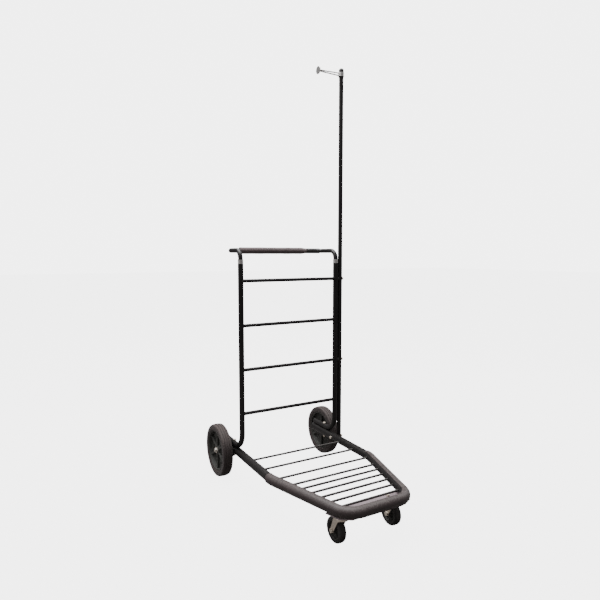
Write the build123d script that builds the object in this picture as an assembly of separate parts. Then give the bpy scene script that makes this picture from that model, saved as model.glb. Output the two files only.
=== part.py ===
"""Hotel luggage cart: an L-shaped tube frame that nests, with two large fixed wheels, two swivel casters,
a push handle and a tall garment pole. Millimetres, +Z up, nose towards -Y, garment pole on the +X side.
The origin lies on the floor, in the middle of the footprint."""

from build123d import *
from math import atan2, cos, radians, sin, tan
import os

# ---------------------------------------------------------------- driving dimensions
# Frame
UPRIGHT_OFFSET = 3.0  # how far the uprights stand outside the deck tubes' centrelines
UPRIGHT_DIA = 25.4
UPRIGHT_WALL = 1.5
FOOT_BEND = 75.0  # centreline radius of the bend from upright to foot
FOOT_SADDLE = 1.2  # how deep the foot is coped over the deck tube
FOOT_TAIL = 7.5  # how far the foot runs back behind the axle
RUNG_DIA = 15.9
RUNGS = 4
LOWEST_RUNG = 350.5
TOP_RUNG_DROP = 78.0  # below the top of the uprights

# Deck
DECK_SPACING = 508.0  # between the centrelines of the deck's straight sides
DECK_DIA = 38.1
DECK_WALL = 1.65
DECK_TAIL = 13.5  # how far the rear ends run back behind the axle
KINK_FRONT = 300.0  # where the sides start to taper, in front of the uprights
KINK_BEND = 120.0
NOSE_FRONT = 702.0  # centreline of the nose, in front of the uprights
NOSE_WIDTH = 285.0  # between the sharp corners of the nose centreline
NOSE_BEND = 78.0
ROD_DIA = 9.5
ROD_GAPS = [68.5, 50.0, 50.0, 50.0, 50.0, 50.0, 79.0, 115.5, 116.0]  # from the nose centreline back
END_CAP = 3.0  # thickness of the plastic caps that close open tubes
CAP_PLUG = 12.0  # how far a cap reaches into its tube
CAP_SLACK = 0.1  # radial clearance of a cap in its tube

# Bumper sleeve on the tapered part of the deck
BUMPER_WALL = 3.2
BUMPER_LEAD = 3.7  # straight length behind the kink's bend
BUMPER_SLACK = 0.1
BUMPER_INNER_LIP = 60.0  # degrees above horizontal where the inner lip ends
BUMPER_OUTER_LIP = 50.0  # degrees below horizontal where the outer lip ends

# Caster plate under the nose
NOSE_PLATE = 5.0
NOSE_PLATE_DEPTH = 91.0  # from the nose centreline back to its rear edge
NOSE_PLATE_EAR = 17.0  # how far it stands outside the centreline at the sides
NOSE_PLATE_EAR_BACK = 30.0  # from the nose centreline back to where its corners are cut off

# Rear wheels and axles
WHEEL_DIA = 254.0
WHEEL_WIDTH = 48.0
TYRE_GAP = 1.95  # between the axle plate and the tyre's inner wall
AXLE_BACK = 184.5  # behind the uprights
AXLE_DIA = 12.7
TYRE_DEPTH = 30.0
TYRE_BEAD = 4.0
TYRE_SHOULDER = 6.0
TYRE_SHOULDER_DROP = 2.0
TYRE_GROOVE = 3.0
TYRE_GROOVE_DEPTH = 2.5
TYRE_GROOVE_OUT = 11.0
RIM_WALL = 5.0
RIM_INSET = 3.0  # rim edge inside the tyre wall, each side
WEB_WALL = 5.0
SPOKES = 6
SPOKE_WALL = 11.0
SPOKE_INSET = 9.0  # spoke edge inside the rim edge
HUB_DIA = 46.0
HUB_LENGTH = 34.0
BUSH_WALL = 3.0
BUSH_FLANGE = 2.0
BUSH_LENGTH = 14.0
BUSH_RUNNING = 0.06  # radial running clearance on the axle
AXLE_HEAD = 4.0
AXLE_HEAD_DIA = 17.0
AXLE_PLATE = 4.0
AXLE_PLATE_COPE = 1.0  # how deep the plate is coped over the deck tube
AXLE_PLATE_LEAD = 124.5  # in front of the axle
AXLE_PLATE_TAIL = 28.5  # behind the axle
AXLE_PLATE_LOW = 24.0  # below the axle
AXLE_PLATE_RISE = 15.0  # above the deck tube's centreline
WASHER = 2.5
WASHER_DIA = 28.0
SIDE_PLAY = 0.45
HUB_NUT_FLATS = 19.0
HUB_NUT = 7.0

# Casters
CASTER_INSET = 10.5  # swivel axes, inside the sharp corners of the nose centreline
CASTER_SETBACK = 58.0  # swivel axes, behind the nose centreline
CASTER_HEADROOM = 25.35  # from the top of the caster wheel to the face that the caster bolts to
CASTER_TRAIL = 38.0
CASTER_DIA = 101.6
CASTER_WIDTH = 30.0
CASTER_TREAD = 14.0
CASTER_SHOULDER = 3.0
CASTER_RIM_WALL = 4.0
CASTER_RIM_INSET = 1.5
CASTER_PLATE_CORNER = 6.0
CASTER_AXLE_FLATS = 16.0
CASTER_HUB_DIA = 26.0
CASTER_HUB_STAND = 3.0  # how far the hub stands out of the tread, each side
CASTER_AXLE_DIA = 9.5
CASTER_WEB = 8.0
CASTER_PLATE = 4.0
CASTER_PLATE_SIZE = (78.0, 67.0)
CASTER_BOLTS = (60.0, 45.0)
CUP_DIA = 48.0
CUP_DEPTH = 5.0
RACE_GAP = 0.6
RACE_DIA = 34.0
BALL_DIA = 5.0
RACE_SLACK = 0.05
PIN_GAP = 0.4  # between the kingpin's head and the crown
BALLS = 14
CROWN = 7.5
CROWN_DIA = 54.0
FORK_WALL = 3.0
FORK_PLAY = 0.5
FORK_EYE_DIA = 20.0
FORK_FRONT = 4.0
FORK_BACK = 28.0
KINGPIN_DIA = 12.0
KINGPIN_HEAD = 3.0

# Push handle
HANDLE_HEIGHT = 1108.0  # centreline of the crossbar above the floor
HANDLE_BACK = 145.0  # crossbar behind the uprights
HANDLE_SLACK = 0.2  # radial clearance of the handle tube in the uprights
HANDLE_PLUG = 60.0
HANDLE_WALL = 1.5
HANDLE_BEND = 41.0
HANDLE_CORNER = 38.0
FERRULE = 19.0
FERRULE_GAP = 1.0  # between the ferrule and the start of the handle's bend
GRIP_LEFT_INSET = 56.0  # from the left upright's centreline to the grip
GRIP_RIGHT_INSET = 122.0  # from the right upright's centreline to the start of the taper
GRIP_TAPER = 33.0
GRIP_WALL = 5.4
SLEEVE_WALL = 1.9
SLEEVE_TURN = 42.0  # degrees of the corner that the sleeve follows
GRIP_EDGE = 2.0
SLIP = 0.1  # radial clearance of anything slid over a tube

# Garment pole
POLE_DIA = 22.2
POLE_WALL = 1.5
POLE_FOOT = 11.0  # below the deck tube's centreline
POLE_TOP = 1974.0
FINIAL_HEIGHT = 20.0
FINIAL_LIP = 1.2  # how far the cap stands out of the pole's wall
FINIAL_ROUND = 0.85  # edge round as a share of the cap's radius
CAP_BOTTOM_PLUG = 4.0
COLLAR_HEIGHT = 20.0
COLLAR_WALL = 3.2
ARM_REACH = 132.0  # collar axis to the end disc
ARM_DIA = 6.0
ARM_ROOT_GAP = 12.5  # between the two rods at the collar
ARM_TIP_GAP = 5.0
END_DISC_DIA = 37.0
END_DISC = 4.0
END_DISC_ROUND = 1.2

# Fasteners
BOLT_DIA = 8.0
BOLT_SLACK = 0.2  # radial clearance of a bolt in its hole
BOLT_FLATS = 13.0
BOLT_HEAD = 5.3
NUT = 6.5
BOLT_REACH = 5.0  # how far a bolt runs past the wall or nut it screws into
BOLT_END = 1.0  # how far a bolt stands out of its nut
FOOT_BOLT_GAP = 22.0  # from the end of the foot's bend to its bolt
HEX_ROUND = 0.56  # corner radius of a hexagon head, as a share of its width across flats
CUT_THROUGH = 1.0  # how far a cutting shape runs past the face it cuts
SPACER_DIA = 18.0

# ---------------------------------------------------------------- what follows from them
SIDE = DECK_SPACING / 2
POST = SIDE + UPRIGHT_OFFSET
UPRIGHT_R = UPRIGHT_DIA / 2
DECK_R = DECK_DIA / 2
POLE_R = POLE_DIA / 2
WHEEL_R = WHEEL_DIA / 2
CASTER_R = CASTER_DIA / 2
BOLT_R = BOLT_DIA / 2
HANDLE_R = UPRIGHT_R - UPRIGHT_WALL - HANDLE_SLACK
CASTER_HEIGHT = CASTER_DIA + CASTER_HEADROOM
DECK_UNDERSIDE = CASTER_HEIGHT + NOSE_PLATE
DECK_HEIGHT = DECK_UNDERSIDE + DECK_R
FOOT_HEIGHT = DECK_HEIGHT + DECK_R + UPRIGHT_R - FOOT_SADDLE
FOOT_END = AXLE_BACK + FOOT_TAIL
FOOT_BOLT_BACK = FOOT_BEND + FOOT_BOLT_GAP
DECK_END = AXLE_BACK + DECK_TAIL
UPRIGHT_TOP = HANDLE_HEIGHT - HANDLE_BEND - FERRULE_GAP - FERRULE
RUNG_PITCH = (UPRIGHT_TOP - TOP_RUNG_DROP - LOWEST_RUNG) / (RUNGS - 1)
RUNG_HEIGHTS = [LOWEST_RUNG + RUNG_PITCH * number for number in range(RUNGS)]
ROD_FRONTS = [NOSE_FRONT - sum(ROD_GAPS[: number + 1]) for number in range(len(ROD_GAPS))]
NOSE_PLATE_REAR = NOSE_FRONT - NOSE_PLATE_DEPTH
NOSE_PLATE_EAR_FRONT = NOSE_FRONT - NOSE_PLATE_EAR_BACK
CASTER_FRONT = NOSE_FRONT - CASTER_SETBACK
CASTER_X = NOSE_WIDTH / 2 - CASTER_INSET
POLE_BOTTOM = DECK_HEIGHT - POLE_FOOT
POLE_X = SIDE + DECK_R + POLE_R
PLATE_X = SIDE + DECK_R - AXLE_PLATE_COPE
FRONT = -(NOSE_FRONT + DECK_R + BUMPER_SLACK + BUMPER_WALL)
KINK_TURN = atan2(SIDE - NOSE_WIDTH / 2, NOSE_FRONT - KINK_FRONT)
KINK_REACH = KINK_BEND * tan(KINK_TURN / 2)  # from the sharp corner to the end of the bend
MIDDLE = (FRONT + AXLE_BACK + WHEEL_R) / 2

sides = (("left", -1), ("right", 1))
nodes = {}


# ---------------------------------------------------------------- small builders
def place(x, y, z, normal):
    """A work plane at a point, facing along a normal."""
    return Plane(origin=(x, y, z), z_dir=normal)


def bar(start, end, radius):
    """A round bar from one point to another."""
    axis = Vector(*end) - Vector(*start)
    return Plane(origin=start, z_dir=axis) * extrude(Circle(radius), amount=axis.length)


def along(path, radius):
    """A solid round bar bent along a path."""
    return sweep(Plane(origin=path @ 0, z_dir=path % 0) * Circle(radius), path=path)


def hexagon(start, end, flats):
    """A hexagonal prism, from one point to another."""
    axis = Vector(*end) - Vector(*start)
    profile = RegularPolygon(flats / 2, 6, major_radius=False)
    prism = Plane(origin=start, z_dir=axis) * extrude(profile, amount=axis.length)
    return prism & bar(start, end, flats * HEX_ROUND)


def ring(start, end, outer, inner):
    """A plain ring or washer, from one point to another."""
    return bar(start, end, outer) - bar(start, end, inner)


def largest(shape):
    """The biggest solid of a cut shape."""
    return max(shape.solids(), key=lambda solid: solid.volume)


def add(name, *solids):
    """Files one node, as one solid or as a group of separate solids."""
    nodes[name] = [solid for shape in solids for solid in shape.solids()]


# ---------------------------------------------------------------- deck
def deck_path(rear):
    """Centreline of the deck tube from a rear end on one side, round the nose, to the other side."""
    nose = NOSE_WIDTH / 2
    corners = [
        (-SIDE, rear),
        (-SIDE, -KINK_FRONT),
        (-nose, -NOSE_FRONT),
        (nose, -NOSE_FRONT),
        (SIDE, -KINK_FRONT),
        (SIDE, rear),
    ]
    bends = [KINK_BEND, NOSE_BEND, NOSE_BEND, KINK_BEND]
    return FilletPolyline(*[(x, y, DECK_HEIGHT) for x, y in corners], radius=bends)


def bumper_profile():
    """C-shaped section of the sleeve: x towards the middle of the deck, y up."""
    inner = DECK_R + BUMPER_SLACK
    outer = inner + BUMPER_WALL
    covered = 180 - BUMPER_INNER_LIP + BUMPER_OUTER_LIP
    outside = CenterArc((0, 0), outer, BUMPER_INNER_LIP, covered)
    inside = CenterArc((0, 0), inner, BUMPER_INNER_LIP, covered)
    return make_face([outside, inside, Line(outside @ 0, inside @ 0), Line(outside @ 1, inside @ 1)])


def bolt_across(start, end):
    """The hole that a bolt needs, from one point to another."""
    return bar(start, end, BOLT_R + BOLT_SLACK)


deck_centreline = deck_path(DECK_END)
deck_envelope = along(deck_centreline, DECK_R)
upright_lines = {
    side: FilletPolyline(
        (sign * POST, FOOT_END, FOOT_HEIGHT),
        (sign * POST, 0, FOOT_HEIGHT),
        (sign * POST, 0, UPRIGHT_TOP),
        radius=FOOT_BEND,
    )
    for side, sign in sides
}
upright_envelopes = {side: along(line, UPRIGHT_R) for side, line in upright_lines.items()}

foot_bolt_top = FOOT_HEIGHT + UPRIGHT_R
foot_bolts, foot_holes = [], []
for _, sign in sides:
    bolt_x = sign * (SIDE + POST) / 2
    low = (bolt_x, FOOT_BOLT_BACK, DECK_UNDERSIDE - NUT - BOLT_REACH)
    high = (bolt_x, FOOT_BOLT_BACK, foot_bolt_top)
    head = (bolt_x, FOOT_BOLT_BACK, foot_bolt_top + BOLT_HEAD)
    nut_low = (bolt_x, FOOT_BOLT_BACK, DECK_UNDERSIDE - NUT)
    nut_high = (bolt_x, FOOT_BOLT_BACK, DECK_UNDERSIDE)
    foot_bolts.append(bar(low, high, BOLT_R) + hexagon(high, head, BOLT_FLATS))
    foot_bolts.append(hexagon(nut_low, nut_high, BOLT_FLATS) - bar(low, high, BOLT_R))
    foot_holes.append(bolt_across(low, head))

pole_foot_hole = bolt_across((SIDE - DECK_DIA, 0, DECK_HEIGHT), (POLE_X + POLE_DIA, 0, DECK_HEIGHT))

deck_tube = deck_envelope - along(deck_centreline, DECK_R - DECK_WALL)
add("deck_frame", deck_tube - foot_holes - pole_foot_hole)

bumper_line = deck_path(-KINK_FRONT + KINK_REACH + BUMPER_LEAD)
bumper_start = Plane(origin=bumper_line @ 0, x_dir=(1, 0, 0), z_dir=bumper_line % 0)
add("deck_bumper", sweep(bumper_start * bumper_profile(), path=bumper_line))

add("deck_rods", *[
    largest(bar((-SIDE, -front, DECK_HEIGHT), (SIDE, -front, DECK_HEIGHT), ROD_DIA / 2) - deck_envelope)
    for front in ROD_FRONTS
])

deck_caps = [
    bar((sign * SIDE, DECK_END - CAP_PLUG, DECK_HEIGHT), (sign * SIDE, DECK_END, DECK_HEIGHT),
        DECK_R - DECK_WALL - CAP_SLACK)
    + bar((sign * SIDE, DECK_END, DECK_HEIGHT), (sign * SIDE, DECK_END + END_CAP, DECK_HEIGHT), DECK_R)
    for _, sign in sides
]
add("deck_end_caps", *deck_caps)


# ---------------------------------------------------------------- plate under the nose, for the casters
def side_at(front):
    """Half width of the deck centreline on its tapered part."""
    taper = (SIDE - NOSE_WIDTH / 2) / (NOSE_FRONT - KINK_FRONT)
    return NOSE_WIDTH / 2 + (NOSE_FRONT - front) * taper


def caster_holes(sign):
    """Places of the four bolts of one caster, nearest the middle of the cart first."""
    along_x, along_y = CASTER_BOLTS
    return [
        (sign * (CASTER_X + i * along_x / 2), -CASTER_FRONT + j * along_y / 2)
        for i in (-1, 1)
        for j in (-1, 1)
    ]


half_outline = [
    (side_at(NOSE_PLATE_REAR) + NOSE_PLATE_EAR, -NOSE_PLATE_REAR),
    (side_at(NOSE_PLATE_EAR_FRONT) + NOSE_PLATE_EAR, -NOSE_PLATE_EAR_FRONT),
    (NOSE_WIDTH / 2 - NOSE_PLATE_EAR, -NOSE_FRONT),
]
nose_outline = half_outline + [(-x, y) for x, y in reversed(half_outline)]
nose_shape = make_face(Polyline(*nose_outline, close=True))
nose_sheet = Plane.XY.offset(CASTER_HEIGHT) * extrude(nose_shape, NOSE_PLATE)
hole_low, hole_high = CASTER_HEIGHT - CUT_THROUGH, DECK_UNDERSIDE + CUT_THROUGH
plate_holes = [
    bolt_across((x, y, hole_low), (x, y, hole_high)) for _, sign in sides for x, y in caster_holes(sign)[:2]
]
tapped_holes = [
    bar((x, y, hole_low), (x, y, hole_high), BOLT_R) for _, sign in sides for x, y in caster_holes(sign)[2:]
]
add("nose_plate", nose_sheet - plate_holes - tapped_holes - deck_envelope)

# ---------------------------------------------------------------- uprights and rungs
pole_bolt_heights = [RUNG_HEIGHTS[1], RUNG_HEIGHTS[3]]
blind_end = POST + UPRIGHT_R - UPRIGHT_WALL - BOLT_REACH
tapped_walls = [bar((blind_end, 0, z), (POLE_X, 0, z), BOLT_R) for z in pole_bolt_heights]
for side, sign in sides:
    tube = upright_envelopes[side] - along(upright_lines[side], UPRIGHT_R - UPRIGHT_WALL)
    tube = tube - deck_envelope - foot_holes
    if side == "right":
        tube = tube - tapped_walls
    add(side + "_upright", largest(tube))

for number, height in enumerate(RUNG_HEIGHTS, 1):
    rung = bar((-POST, 0, height), (POST, 0, height), RUNG_DIA / 2)
    add(f"rung_{number}", largest(rung - list(upright_envelopes.values())))

foot_bore = UPRIGHT_R - UPRIGHT_WALL
add("foot_end_caps", *[
    bar((sign * POST, FOOT_END, FOOT_HEIGHT), (sign * POST, FOOT_END + END_CAP, FOOT_HEIGHT), UPRIGHT_R)
    - deck_envelope
    + (bar((sign * POST, FOOT_END - CAP_PLUG, FOOT_HEIGHT), (sign * POST, FOOT_END, FOOT_HEIGHT),
           foot_bore - CAP_SLACK) - deck_envelope)
    for _, sign in sides
])
add("foot_bolts", *foot_bolts)

# ---------------------------------------------------------------- rear wheels
hub_inner = PLATE_X + AXLE_PLATE + WASHER + SIDE_PLAY + BUSH_FLANGE
hub_outer = hub_inner + HUB_LENGTH
outer_washer = hub_outer + BUSH_FLANGE + SIDE_PLAY
nut_face = outer_washer + WASHER
wheel_middle = PLATE_X + AXLE_PLATE + TYRE_GAP + WHEEL_WIDTH / 2
tyre_bore = WHEEL_R - TYRE_DEPTH
axle_height = WHEEL_R
axle_r = AXLE_DIA / 2
hub_bore = axle_r + BUSH_RUNNING + BUSH_WALL
rim_half = WHEEL_WIDTH / 2 - RIM_INSET


def across(sign, inner, outer, radius):
    """A round bar on a rear axle's line, between two distances from the cart's middle."""
    return bar((sign * inner, AXLE_BACK, axle_height), (sign * outer, AXLE_BACK, axle_height), radius)


def tyre_section():
    """Half section of the tyre: x along the axle from the tyre's middle, y the radius."""
    half = WHEEL_WIDTH / 2
    shoulder = WHEEL_R - TYRE_SHOULDER_DROP
    outline = Polyline(
        (-half + TYRE_BEAD, tyre_bore),
        (-half, tyre_bore + TYRE_BEAD),
        (-half, shoulder - TYRE_SHOULDER),
        (-half + TYRE_SHOULDER, shoulder),
    )
    crown = ThreePointArc((-half + TYRE_SHOULDER, shoulder), (0, WHEEL_R), (half - TYRE_SHOULDER, shoulder))
    mirrored = Polyline(
        (half - TYRE_SHOULDER, shoulder),
        (half, shoulder - TYRE_SHOULDER),
        (half, tyre_bore + TYRE_BEAD),
        (half - TYRE_BEAD, tyre_bore),
        (-half + TYRE_BEAD, tyre_bore),
    )
    face = make_face(outline.edges() + crown.edges() + mirrored.edges())
    for groove in (-TYRE_GROOVE_OUT, 0, TYRE_GROOVE_OUT):
        face -= Pos(groove, WHEEL_R) * Rectangle(TYRE_GROOVE, 2 * TYRE_GROOVE_DEPTH)
    return face


def turned(face):
    """A solid of revolution about X of a half section drawn in the XY plane."""
    return revolve(face, axis=Axis.X)


def rim():
    """Moulded wheel centre about X: barrel, web, hub and ribs on both faces of the web."""
    middle = wheel_middle
    barrel = ring((-rim_half, 0, 0), (rim_half, 0, 0), tyre_bore, tyre_bore - RIM_WALL)
    web = bar((-WEB_WALL / 2, 0, 0), (WEB_WALL / 2, 0, 0), tyre_bore - RIM_WALL / 2)
    hub = bar((hub_inner - middle, 0, 0), (hub_outer - middle, 0, 0), HUB_DIA / 2)
    body = barrel + web + hub
    spoke_half = rim_half - SPOKE_INSET
    length = tyre_bore - RIM_WALL / 2
    for number in range(SPOKES):
        spoke = Pos(0, 0, length / 2) * Box(2 * spoke_half, SPOKE_WALL, length)
        body += Rot(360 / SPOKES * number, 0, 0) * spoke
    return body - bar((-WHEEL_WIDTH, 0, 0), (WHEEL_WIDTH, 0, 0), hub_bore)


tyre = turned(tyre_section())
wheel_centre = rim()
for side, sign in sides:
    seat = Location((sign * wheel_middle, AXLE_BACK, axle_height), (0, 0, 0 if sign > 0 else 180))
    add(side + "_tyre", seat * tyre)
    add(side + "_rim", seat * wheel_centre)
    bushes = [
        across(sign, hub_inner - BUSH_FLANGE, hub_inner, hub_bore + BUSH_FLANGE)
        + across(sign, hub_inner, hub_inner + BUSH_LENGTH, hub_bore),
        across(sign, hub_outer, hub_outer + BUSH_FLANGE, hub_bore + BUSH_FLANGE)
        + across(sign, hub_outer - BUSH_LENGTH, hub_outer, hub_bore),
    ]
    clear = across(sign, 0, 2 * wheel_middle, axle_r + BUSH_RUNNING)
    add(side + "_bushes", *[bush - clear for bush in bushes])
    shank = across(sign, PLATE_X, nut_face + HUB_NUT, axle_r)
    stub = shank + across(sign, PLATE_X - AXLE_HEAD, PLATE_X, AXLE_HEAD_DIA / 2)
    add(side + "_axle", largest(stub - deck_envelope))
    inner_washer = across(sign, PLATE_X + AXLE_PLATE, PLATE_X + AXLE_PLATE + WASHER, WASHER_DIA / 2)
    last_washer = across(sign, outer_washer, nut_face, WASHER_DIA / 2)
    add(side + "_washers", inner_washer - shank, last_washer - shank)
    nut = hexagon(
        (sign * nut_face, AXLE_BACK, axle_height),
        (sign * (nut_face + HUB_NUT), AXLE_BACK, axle_height),
        HUB_NUT_FLATS,
    )
    add(side + "_hub_nut", nut - shank)
    plate_front, plate_rear = AXLE_BACK - AXLE_PLATE_LEAD, AXLE_BACK + AXLE_PLATE_TAIL
    plate_low, plate_top = axle_height - AXLE_PLATE_LOW, DECK_HEIGHT + AXLE_PLATE_RISE
    plate_outline = Polyline(
        (plate_front, DECK_UNDERSIDE),
        (AXLE_BACK - AXLE_PLATE_LOW, plate_low),
        (plate_rear, plate_low),
        (plate_rear, plate_top),
        (plate_front, plate_top),
        close=True,
    )
    plate = Plane.YZ.offset(min(sign * PLATE_X, sign * (PLATE_X + AXLE_PLATE))) * extrude(
        make_face(plate_outline), AXLE_PLATE
    )
    add(side + "_axle_plate", plate - shank - deck_envelope - deck_caps)

# ---------------------------------------------------------------- casters
swivel_y = -CASTER_FRONT
wheel_y = swivel_y + CASTER_TRAIL
cup_low = CASTER_HEIGHT - CASTER_PLATE - CUP_DEPTH
crown_top = cup_low - RACE_GAP
crown_low = crown_top - CROWN
caster_hub_half = CASTER_WIDTH / 2 + CASTER_HUB_STAND
fork_inner = caster_hub_half + FORK_PLAY
fork_outer = fork_inner + FORK_WALL
pin_r = KINGPIN_DIA / 2
caster_axle_r = CASTER_AXLE_DIA / 2


def race_balls(x, radius, count):
    """A ring of balls between the cup and the crown."""
    height = (cup_low + crown_top) / 2
    return [
        Location((x + RACE_DIA / 2 * cos(radians(a)), swivel_y + RACE_DIA / 2 * sin(radians(a)), height))
        * Sphere(radius)
        for a in [360 / count * i for i in range(count)]
    ]


def race_groove(x):
    """The groove that the balls run in, cut from both the cup and the crown."""
    groove = revolve(Plane.XZ * Pos(RACE_DIA / 2, 0) * Circle(BALL_DIA / 2 + RACE_SLACK), axis=Axis.Z)
    return Location((x, swivel_y, (cup_low + crown_top) / 2)) * groove


def fork(x):
    """Pressed fork: a crown round the kingpin and two legs that trail back to the wheel's axle."""
    crown = bar((x, swivel_y, crown_low), (x, swivel_y, crown_top), CROWN_DIA / 2)
    top = make_face(Polyline(
        (x - fork_outer, swivel_y - FORK_FRONT),
        (x + fork_outer, swivel_y - FORK_FRONT),
        (x + fork_outer, swivel_y + FORK_BACK),
        (x - fork_outer, swivel_y + FORK_BACK),
        close=True,
    ))
    body = crown + Plane.XY.offset(crown_low) * extrude(top, FORK_WALL)
    brow = crown_low + FORK_WALL
    shoulder = Line((swivel_y - FORK_FRONT, brow), (swivel_y + FORK_BACK, brow))
    profile = make_hull((Pos(wheel_y, CASTER_R) * Circle(FORK_EYE_DIA / 2)).edges() + shoulder.edges())
    leg = extrude(Plane.YZ * profile, FORK_WALL)
    body += Pos(x + fork_inner, 0, 0) * leg
    body += Pos(x - fork_outer, 0, 0) * leg
    hole = bar((x, swivel_y, 0), (x, swivel_y, CASTER_HEIGHT), pin_r + BUSH_RUNNING)
    bolt_half = 2 * fork_outer
    bolt = bar((x - bolt_half, wheel_y, CASTER_R), (x + bolt_half, wheel_y, CASTER_R), caster_axle_r)
    return body - hole - bolt - race_groove(x)


def caster_tread():
    """Solid tread about X, with a crowned running face."""
    half, bore = CASTER_WIDTH / 2, CASTER_R - CASTER_TREAD
    shoulder = CASTER_R - CASTER_SHOULDER
    low = Polyline((-half, shoulder), (-half, bore), (half, bore), (half, shoulder))
    crown = ThreePointArc((-half, shoulder), (0, CASTER_R), (half, shoulder))
    return turned(make_face(low.edges() + crown.edges()))


def caster_core():
    """Moulded core about X: rim, web and hub."""
    bore = CASTER_R - CASTER_TREAD
    half = CASTER_WIDTH / 2 - CASTER_RIM_INSET
    barrel = ring((-half, 0, 0), (half, 0, 0), bore, bore - CASTER_RIM_WALL)
    web = bar((-CASTER_WEB / 2, 0, 0), (CASTER_WEB / 2, 0, 0), bore - CASTER_RIM_WALL / 2)
    hub = bar((-caster_hub_half, 0, 0), (caster_hub_half, 0, 0), CASTER_HUB_DIA / 2)
    return barrel + web + hub - bar((-CASTER_WIDTH, 0, 0), (CASTER_WIDTH, 0, 0), caster_axle_r + BUSH_RUNNING)


tread, core = caster_tread(), caster_core()
caster_bolts, caster_nuts = [], []
for side, sign in sides:
    x = sign * CASTER_X
    size_x, size_y = CASTER_PLATE_SIZE
    flat = Location((x, swivel_y, CASTER_HEIGHT - CASTER_PLATE / 2)) * Box(size_x, size_y, CASTER_PLATE)
    flat = fillet(flat.edges().filter_by(Axis.Z), CASTER_PLATE_CORNER)
    cup = bar((x, swivel_y, cup_low), (x, swivel_y, CASTER_HEIGHT - CASTER_PLATE), CUP_DIA / 2)
    pin_low = crown_low - PIN_GAP - KINGPIN_HEAD
    pin = bar((x, swivel_y, pin_low), (x, swivel_y, CASTER_HEIGHT), pin_r)
    pin_head = bar((x, swivel_y, pin_low), (x, swivel_y, crown_low - PIN_GAP), pin_r + KINGPIN_HEAD)
    hole_top = CASTER_HEIGHT + CUT_THROUGH
    holes = [bolt_across((hx, hy, cup_low), (hx, hy, hole_top)) for hx, hy in caster_holes(sign)]
    add(side + "_caster_plate", flat + cup - pin - holes - race_groove(x))
    add(side + "_kingpin", pin + pin_head)
    add(side + "_race_balls", *race_balls(x, BALL_DIA / 2, BALLS))
    add(side + "_fork", fork(x))
    hub_at = Location((x, wheel_y, CASTER_R))
    add(side + "_caster_tread", hub_at * tread)
    add(side + "_caster_core", hub_at * core)
    left_end, right_end = x - fork_outer, x + fork_outer
    head_end, nut_end = left_end - BOLT_HEAD, right_end + NUT
    axle_bar = bar((left_end, wheel_y, CASTER_R), (nut_end, wheel_y, CASTER_R), caster_axle_r)
    axle_head = hexagon((head_end, wheel_y, CASTER_R), (left_end, wheel_y, CASTER_R), CASTER_AXLE_FLATS)
    axle_nut = hexagon((right_end, wheel_y, CASTER_R), (nut_end, wheel_y, CASTER_R), CASTER_AXLE_FLATS)
    add(side + "_caster_axle", axle_bar + axle_head, axle_nut - axle_bar)
    head_top = CASTER_HEIGHT - CASTER_PLATE
    for number, (hx, hy) in enumerate(caster_holes(sign)):
        nutted = number < 2
        end = DECK_UNDERSIDE + (NUT + BOLT_END if nutted else 0)
        shank = bar((hx, hy, head_top), (hx, hy, end), BOLT_R)
        caster_bolts.append(shank + hexagon((hx, hy, head_top - BOLT_HEAD), (hx, hy, head_top), BOLT_FLATS))
        if nutted:
            nut = hexagon((hx, hy, DECK_UNDERSIDE), (hx, hy, DECK_UNDERSIDE + NUT), BOLT_FLATS)
            caster_nuts.append(nut - shank)
add("caster_bolts", *caster_bolts)
add("caster_nuts", *caster_nuts)

# ---------------------------------------------------------------- push handle
handle_line = FilletPolyline(
    (-POST, 0, UPRIGHT_TOP - HANDLE_PLUG),
    (-POST, 0, HANDLE_HEIGHT),
    (-POST, HANDLE_BACK, HANDLE_HEIGHT),
    (POST, HANDLE_BACK, HANDLE_HEIGHT),
    (POST, 0, HANDLE_HEIGHT),
    (POST, 0, UPRIGHT_TOP - HANDLE_PLUG),
    radius=[HANDLE_BEND, HANDLE_CORNER, HANDLE_CORNER, HANDLE_BEND],
)
add("handle_loop", along(handle_line, HANDLE_R) - along(handle_line, HANDLE_R - HANDLE_WALL))
add("handle_ferrules", *[
    ring((sign * POST, 0, UPRIGHT_TOP), (sign * POST, 0, UPRIGHT_TOP + FERRULE), UPRIGHT_R, HANDLE_R + SLIP)
    for _, sign in sides
])
sleeve_bore = HANDLE_R + SLIP
grip_r = sleeve_bore + GRIP_WALL
sleeve_r = sleeve_bore + SLEEVE_WALL
grip_left, grip_right = GRIP_LEFT_INSET - POST, POST - GRIP_RIGHT_INSET
taper_end = grip_right + GRIP_TAPER
grip_section = make_face(Polyline(
    (grip_left, sleeve_bore),
    (grip_left, grip_r - GRIP_EDGE),
    (grip_left + GRIP_EDGE, grip_r),
    (grip_right, grip_r),
    (taper_end, sleeve_r),
    (taper_end, sleeve_bore),
    close=True,
))
add("handle_grip", Location((0, HANDLE_BACK, HANDLE_HEIGHT)) * turned(grip_section))
turn_start = POST - HANDLE_CORNER
turn_centre = (turn_start, HANDLE_BACK - HANDLE_CORNER)
straight = Line((taper_end, HANDLE_BACK, HANDLE_HEIGHT), (turn_start, HANDLE_BACK, HANDLE_HEIGHT))
corner = Plane.XY.offset(HANDLE_HEIGHT) * CenterArc(turn_centre, HANDLE_CORNER, 90, -SLEEVE_TURN)
sleeve_line = Wire(straight.edges() + corner.edges())
add("handle_sleeve", along(sleeve_line, sleeve_r) - along(sleeve_line, sleeve_bore))

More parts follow.
